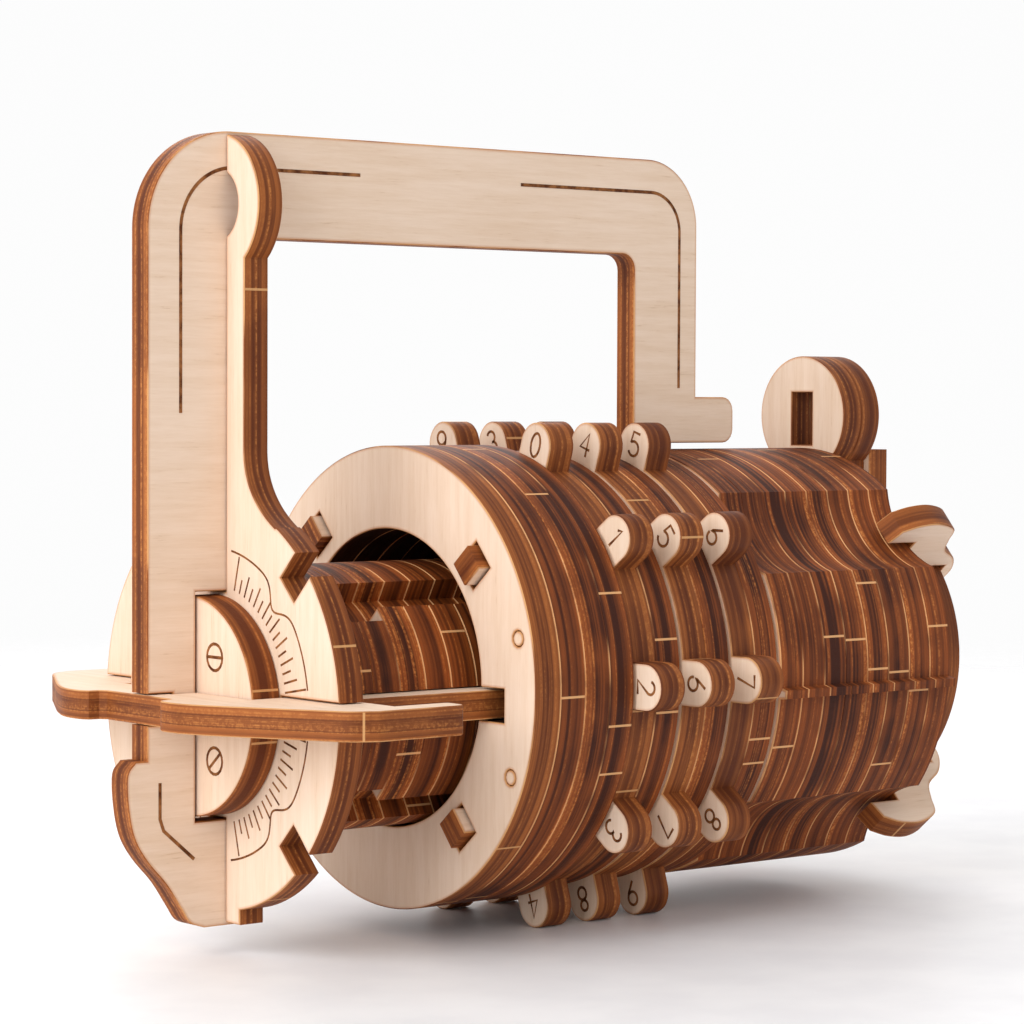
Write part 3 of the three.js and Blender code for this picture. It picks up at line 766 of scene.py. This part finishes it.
def dial_half():
    notch_turn = math.degrees(math.asin(NOTCH_HALF / DIAL_RADIUS))
    key_turn = math.degrees(math.asin(key_half / DIAL_RADIUS))
    foot_turn = 90 - math.degrees(math.asin(FOOT_HALF / DIAL_RADIUS))
    hole_turn = 90 - math.degrees(math.asin(straddle / BULB_HOLE))
    slot_end = WINDOW_HALF - SLOT

    def notch(angle):
        corners = [point(NOTCH_INNER, -NOTCH_HALF), point(NOTCH_INNER, NOTCH_HALF)]
        return [Matrix.Rotation(math.radians(angle), 2) @ p for p in corners]

    flare = []
    first, middle, last = point(11.6, 21.0), point(5.6, 24.4), point(5.4, 29.5)
    for t in (i / 12 for i in range(13)):
        flare.append(first * (1 - t) ** 2 + middle * 2 * t * (1 - t) + last * t * t)
    return [
        point(straddle, -slot_end),
        point(straddle, FOOT_END),
        point(FOOT_HALF, FOOT_END),
        *arc(0, 0, DIAL_RADIUS, -foot_turn, -NOTCH_ANGLE - notch_turn),
        *notch(-NOTCH_ANGLE),
        *arc(0, 0, DIAL_RADIUS, -NOTCH_ANGLE + notch_turn, -key_turn),
        point(ARM_SLOT, -key_half),
        point(ARM_SLOT, key_half),
        *arc(0, 0, DIAL_RADIUS, key_turn, NOTCH_ANGLE - notch_turn),
        *notch(NOTCH_ANGLE),
        *arc(0, 0, DIAL_RADIUS, NOTCH_ANGLE + notch_turn, FLARE_ANGLE),
        *flare,
        *arc(0, BULB_HEIGHT, BULB_RADIUS, -math.degrees(math.acos(STRIP_HALF / BULB_RADIUS)),
             90 - math.degrees(math.asin(straddle / BULB_RADIUS))),
        point(straddle, BULB_HEIGHT + rise(BULB_HOLE, straddle)),
        *arc(0, BULB_HEIGHT, BULB_HOLE, hole_turn, -hole_turn),
        point(straddle, slot_end),
    ]


dial_outline = [*dial_half(), *mirrored(dial_half())]
sheet("dial_plate", dial_outline, [], PLATE, cross(DIAL_FRONT, HEAD_Z), cross_ply, "plunger",
      at=[point(STRIP_HALF, 48.5), point(-STRIP_HALF, 48.5), polar(DIAL_RADIUS, 20), polar(DIAL_RADIUS, -65)])


TICKS = 16
FIRST_TICK = 9.5
TICK_ANGLE = 4.4
TICK_WIDTH = 0.24
TICK_FOOT = 13.9
TICK_ENDS = {"end": 18.0, "long": 16.5, "short": 15.6}
WAVE_START, WAVE_SWEEP, WAVE_STEPS = 9, 72, 60
WAVE_RADIUS, WAVE_DIP, WAVE_MIDDLE, WAVE_SPREAD = 18.3, 2.2, 46, 6.5


def dial_lines():
    wave = []
    for angle in (WAVE_START + WAVE_SWEEP * i / WAVE_STEPS for i in range(WAVE_STEPS + 1)):
        dip = math.exp(-((angle - WAVE_MIDDLE) / WAVE_SPREAD) ** 2)
        wave.append(polar(WAVE_RADIUS - WAVE_DIP * dip, angle))
    quarter = [wave]
    for tick in range(TICKS):
        angle = FIRST_TICK + TICK_ANGLE * tick
        kind = "end" if tick in (0, TICKS - 1) else "long" if tick % 2 else "short"
        quarter.append([polar(TICK_FOOT, angle), polar(TICK_ENDS[kind], angle)])
    lines = []
    for side in (1, -1):
        for half in (1, -1):
            lines += [([point(side * p.x, half * p.y) for p in line], False) for line in quarter]
    return lines


engraved("dial_scale", dial_lines(), cross(DIAL_FRONT, HEAD_Z), "plunger", width=TICK_WIDTH)


# The screw disc: a small plywood disc on the front of the dial, engraved with round marks like screw heads,
# each with a line across it for the slot.
DISC_X = start_of("screw_disc")
DISC_RADIUS = 12.9
sheet("screw_disc", circle(DISC_RADIUS), [], LAYER, cross(DISC_X, HEAD_Z), cross_ply, "plunger",
      at=[polar(DISC_RADIUS, 12)])
MARK_SIDE, MARK_RISE = 5.2, 6.0
MARK_RADIUS, MARK_SLOT = 1.55, 1.4
MARK_LEAN = 40
MARK_LINE_WIDTH = 0.36
marks = []
for side in (1, -1):
    for height in (MARK_RISE, -MARK_RISE):
        marks.append((circle(MARK_RADIUS, MARK_SIDE * side, height), True))
        lean = 0 if height > 0 else MARK_LEAN
        slot = [point(MARK_SIDE * side, height) + polar(MARK_SLOT, lean + t) for t in (0, 180)]
        marks.append((slot, False))
engraved("screw_disc_marks", marks, cross(DISC_X, HEAD_Z), "plunger", width=MARK_LINE_WIDTH)


# The key plate lies level through the head, slotted into the shackle plate. It is plywood, with wings in
# front that reach round the barrel, a plain arm, and an arm with the teeth.
level_ply = plywood("birch_level", "Y", PALE, BROWNS)
KEY_FRONT = -36.0
WING_REACH, WING_INNER, WING_END = 32.5, 28.9, -13.4
ARM_OUTER, ARM_INNER, ARM_END = 19.9, 13.0, 46.0
TOOTH_TIP = 25.3
TEETH = [(4.1, 6.9), (12.0, 14.8), (24.0, 27.0)]
wing_edge = [(-37.9, 7.6), (-38.5, 9.0), (-38.3, 12.4), (-36.6, 16.6), (-33.9, 21.6), (-31.0, 26.8),
             (-28.6, 30.8), (-25.6, WING_REACH)]


def key_side(teeth):
    arm_slot = DIAL_BACK + 0.7
    outline = [
        point(KEY_FRONT, 6.6),
        point(KEY_FRONT - 0.6, 7.4),
        *smooth([point(*p) for p in wing_edge]),
        *arc(WING_END - 1.2, WING_REACH - 1.2, 1.2, 90, 0),
        *arc(WING_END - 0.8, WING_INNER + 0.8, 0.8, 0, -90),
        point(arm_slot, WING_INNER),
        point(arm_slot, ARM_OUTER),
    ]
    for first, last in teeth:
        outline += [point(first, ARM_OUTER), point(first, TOOTH_TIP)]
        outline += [point(last, TOOTH_TIP), point(last, ARM_OUTER)]
    return outline + [
        point(ARM_END, ARM_OUTER),
        point(ARM_END, ARM_INNER),
        point(WINDOW_FRONT, ARM_INNER),
        point(WINDOW_FRONT, key_half),
        point(KEY_CROSSING, key_half),
    ]


key_outline = [*key_side([]), *(point(p.x, -p.y) for p in reversed(key_side(TEETH)))]
sheet("key_plate", key_outline, [], PLATE, level, level_ply, "plunger",
      marks=0, at=[point(-27.3, -31.8), point(-34.0, 21.4)])


# The core: eight plywood discs glued to the back of the dial, with grooves at the corners and slots for the
# key's arms. They ride loose in the barrel's bore.
CORE_DISCS = 8
CORE_RADIUS = 16.1
GROOVE_RADIUS = 13.4
GROOVE_STARTS = {"front": 38, "rear": 45}
GROOVE_END = 61
FRONT_DISCS = 3


def core_outline(groove_start):
    slot_turn = math.degrees(math.asin(key_half / CORE_RADIUS))
    quarter = [
        point(ARM_INNER - SLOT, key_half),
        *arc(0, 0, CORE_RADIUS, slot_turn, groove_start),
        *arc(0, 0, GROOVE_RADIUS, groove_start, GROOVE_END),
        *arc(0, 0, CORE_RADIUS, GROOVE_END, 90),
    ]
    upper = [*quarter, *mirrored(quarter)]
    return [*upper, *(point(p.x, -p.y) for p in reversed(upper))]


for index in range(CORE_DISCS):
    node = f"core_disc_{index + 1}"
    groove_start = GROOVE_STARTS["front" if index < FRONT_DISCS else "rear"]
    sheet(node, core_outline(groove_start), [], LAYER, cross(start_of(node), HEAD_Z),
          stack_ply, "plunger", marks=3)


# The studio: a pale floor that fades out before its edge, a soft white surround, and two broad soft lamps.
FLOOR_TONES = [(234, 233, 235), (242, 241, 242)]
FADE_START, FADE_END = 0.2, 0.5  # metres from the middle of the floor
SURROUND_STRENGTH, SURROUND_TILT = 0.8, 0.18
BRIGHTER_SIDE = (0.63, 0.78, 0.0)


def stage_material():
    material = bpy.data.materials.new("pale_floor")
    material.use_nodes = True
    tree = material.node_tree
    start = Socket(tree, None)
    tone = start.noise(start.node("ShaderNodeTexCoord", output=3), 60.0, 4.0)
    colour = tone.step(0.3, 0.7).mix(*(linear(*shade) for shade in FLOOR_TONES))
    shader = tree.nodes["Principled BSDF"]
    tree.links.new(colour.link, shader.inputs["Base Color"])
    reach = start.node("ShaderNodeVectorMath", {"operation": "LENGTH"}, output=1,
                       i0=start.node("ShaderNodeTexCoord", output=3))
    tree.links.new(reach.step(FADE_START, FADE_END, 1.0, 0.0).link, shader.inputs["Alpha"])
    shader.inputs["Roughness"].default_value = 0.45
    return material


FLOOR_SIZE = 3.0
floor_mesh = bpy.data.meshes.new("floor")
corners = [(x * FLOOR_SIZE, y * FLOOR_SIZE, 0) for x, y in ((-1, -1), (1, -1), (1, 1), (-1, 1))]
floor_mesh.from_pydata(corners, [], [(0, 1, 2, 3)])
floor_mesh.materials.append(stage_material())
floor = bpy.data.objects.new("floor", floor_mesh)
bpy.context.scene.collection.objects.link(floor)

world = bpy.data.worlds.new("surround")
world.use_nodes = True
world.node_tree.nodes["Background"].inputs["Color"].default_value = (1.0, 1.0, 1.0, 1.0)
sky = Socket(world.node_tree, None)
facing = sky.node("ShaderNodeVectorMath", {"operation": "DOT_PRODUCT"}, output=1,
                  i0=sky.node("ShaderNodeTexCoord", output=0), i1=BRIGHTER_SIDE)
strength = SURROUND_STRENGTH + SURROUND_TILT * facing
world.node_tree.links.new(strength.link, world.node_tree.nodes["Background"].inputs["Strength"])
bpy.context.scene.world = world


def lamp(name, place, target, size, power):
    data = bpy.data.lights.new(name, "AREA")
    data.size = size
    data.energy = power
    made = bpy.data.objects.new(name, data)
    direction = Vector(target) - Vector(place)
    made.matrix_world = Matrix.Translation(place) @ direction.to_track_quat("-Z", "Y").to_matrix().to_4x4()
    bpy.context.scene.collection.objects.link(made)


BARREL_MIDDLE = (0, 0, 0.04)
lamp("key_lamp", (-0.65, -0.12, 0.4), BARREL_MIDDLE, size=0.6, power=4.8)
lamp("back_lamp", (0.25, 0.5, 0.5), BARREL_MIDDLE, size=0.5, power=1.8)
bpy.context.scene.view_settings.view_transform = "Standard"

# The camera stands to the near side of the head, a little above the barrel's axis, with a long lens.
CAMERA_PLACE = Vector((-237.0, -312.6, 33.9))
CAMERA_TURN = 0.6857
CAMERA_NOD = -0.034
CAMERA_ROLL = 0.004
SENSOR = 36
FOCAL = 3216 / 1024 * SENSOR
forward = Vector((
    math.sin(CAMERA_TURN) * math.cos(CAMERA_NOD),
    math.cos(CAMERA_TURN) * math.cos(CAMERA_NOD),
    math.sin(CAMERA_NOD),
))
level_right = Vector((math.cos(CAMERA_TURN), -math.sin(CAMERA_TURN), 0))
level_up = level_right.cross(forward)
right = level_right * math.cos(CAMERA_ROLL) + level_up * math.sin(CAMERA_ROLL)
up = level_up * math.cos(CAMERA_ROLL) - level_right * math.sin(CAMERA_ROLL)
camera_data = bpy.data.cameras.new("camera")
camera_data.lens = FOCAL
camera_data.sensor_width = SENSOR
camera_data.shift_x = 0.005
camera_data.shift_y = -0.0025
camera_data.clip_start = 0.02
camera = bpy.data.objects.new("camera", camera_data)
place = (CAMERA_PLACE + Vector((FRONT_X, 0, BARREL_Z))) * MM
camera.matrix_world = Matrix.Translation(place) @ Matrix((right, up, -forward)).transposed().to_4x4()
bpy.context.scene.collection.objects.link(camera)
bpy.context.scene.camera = camera
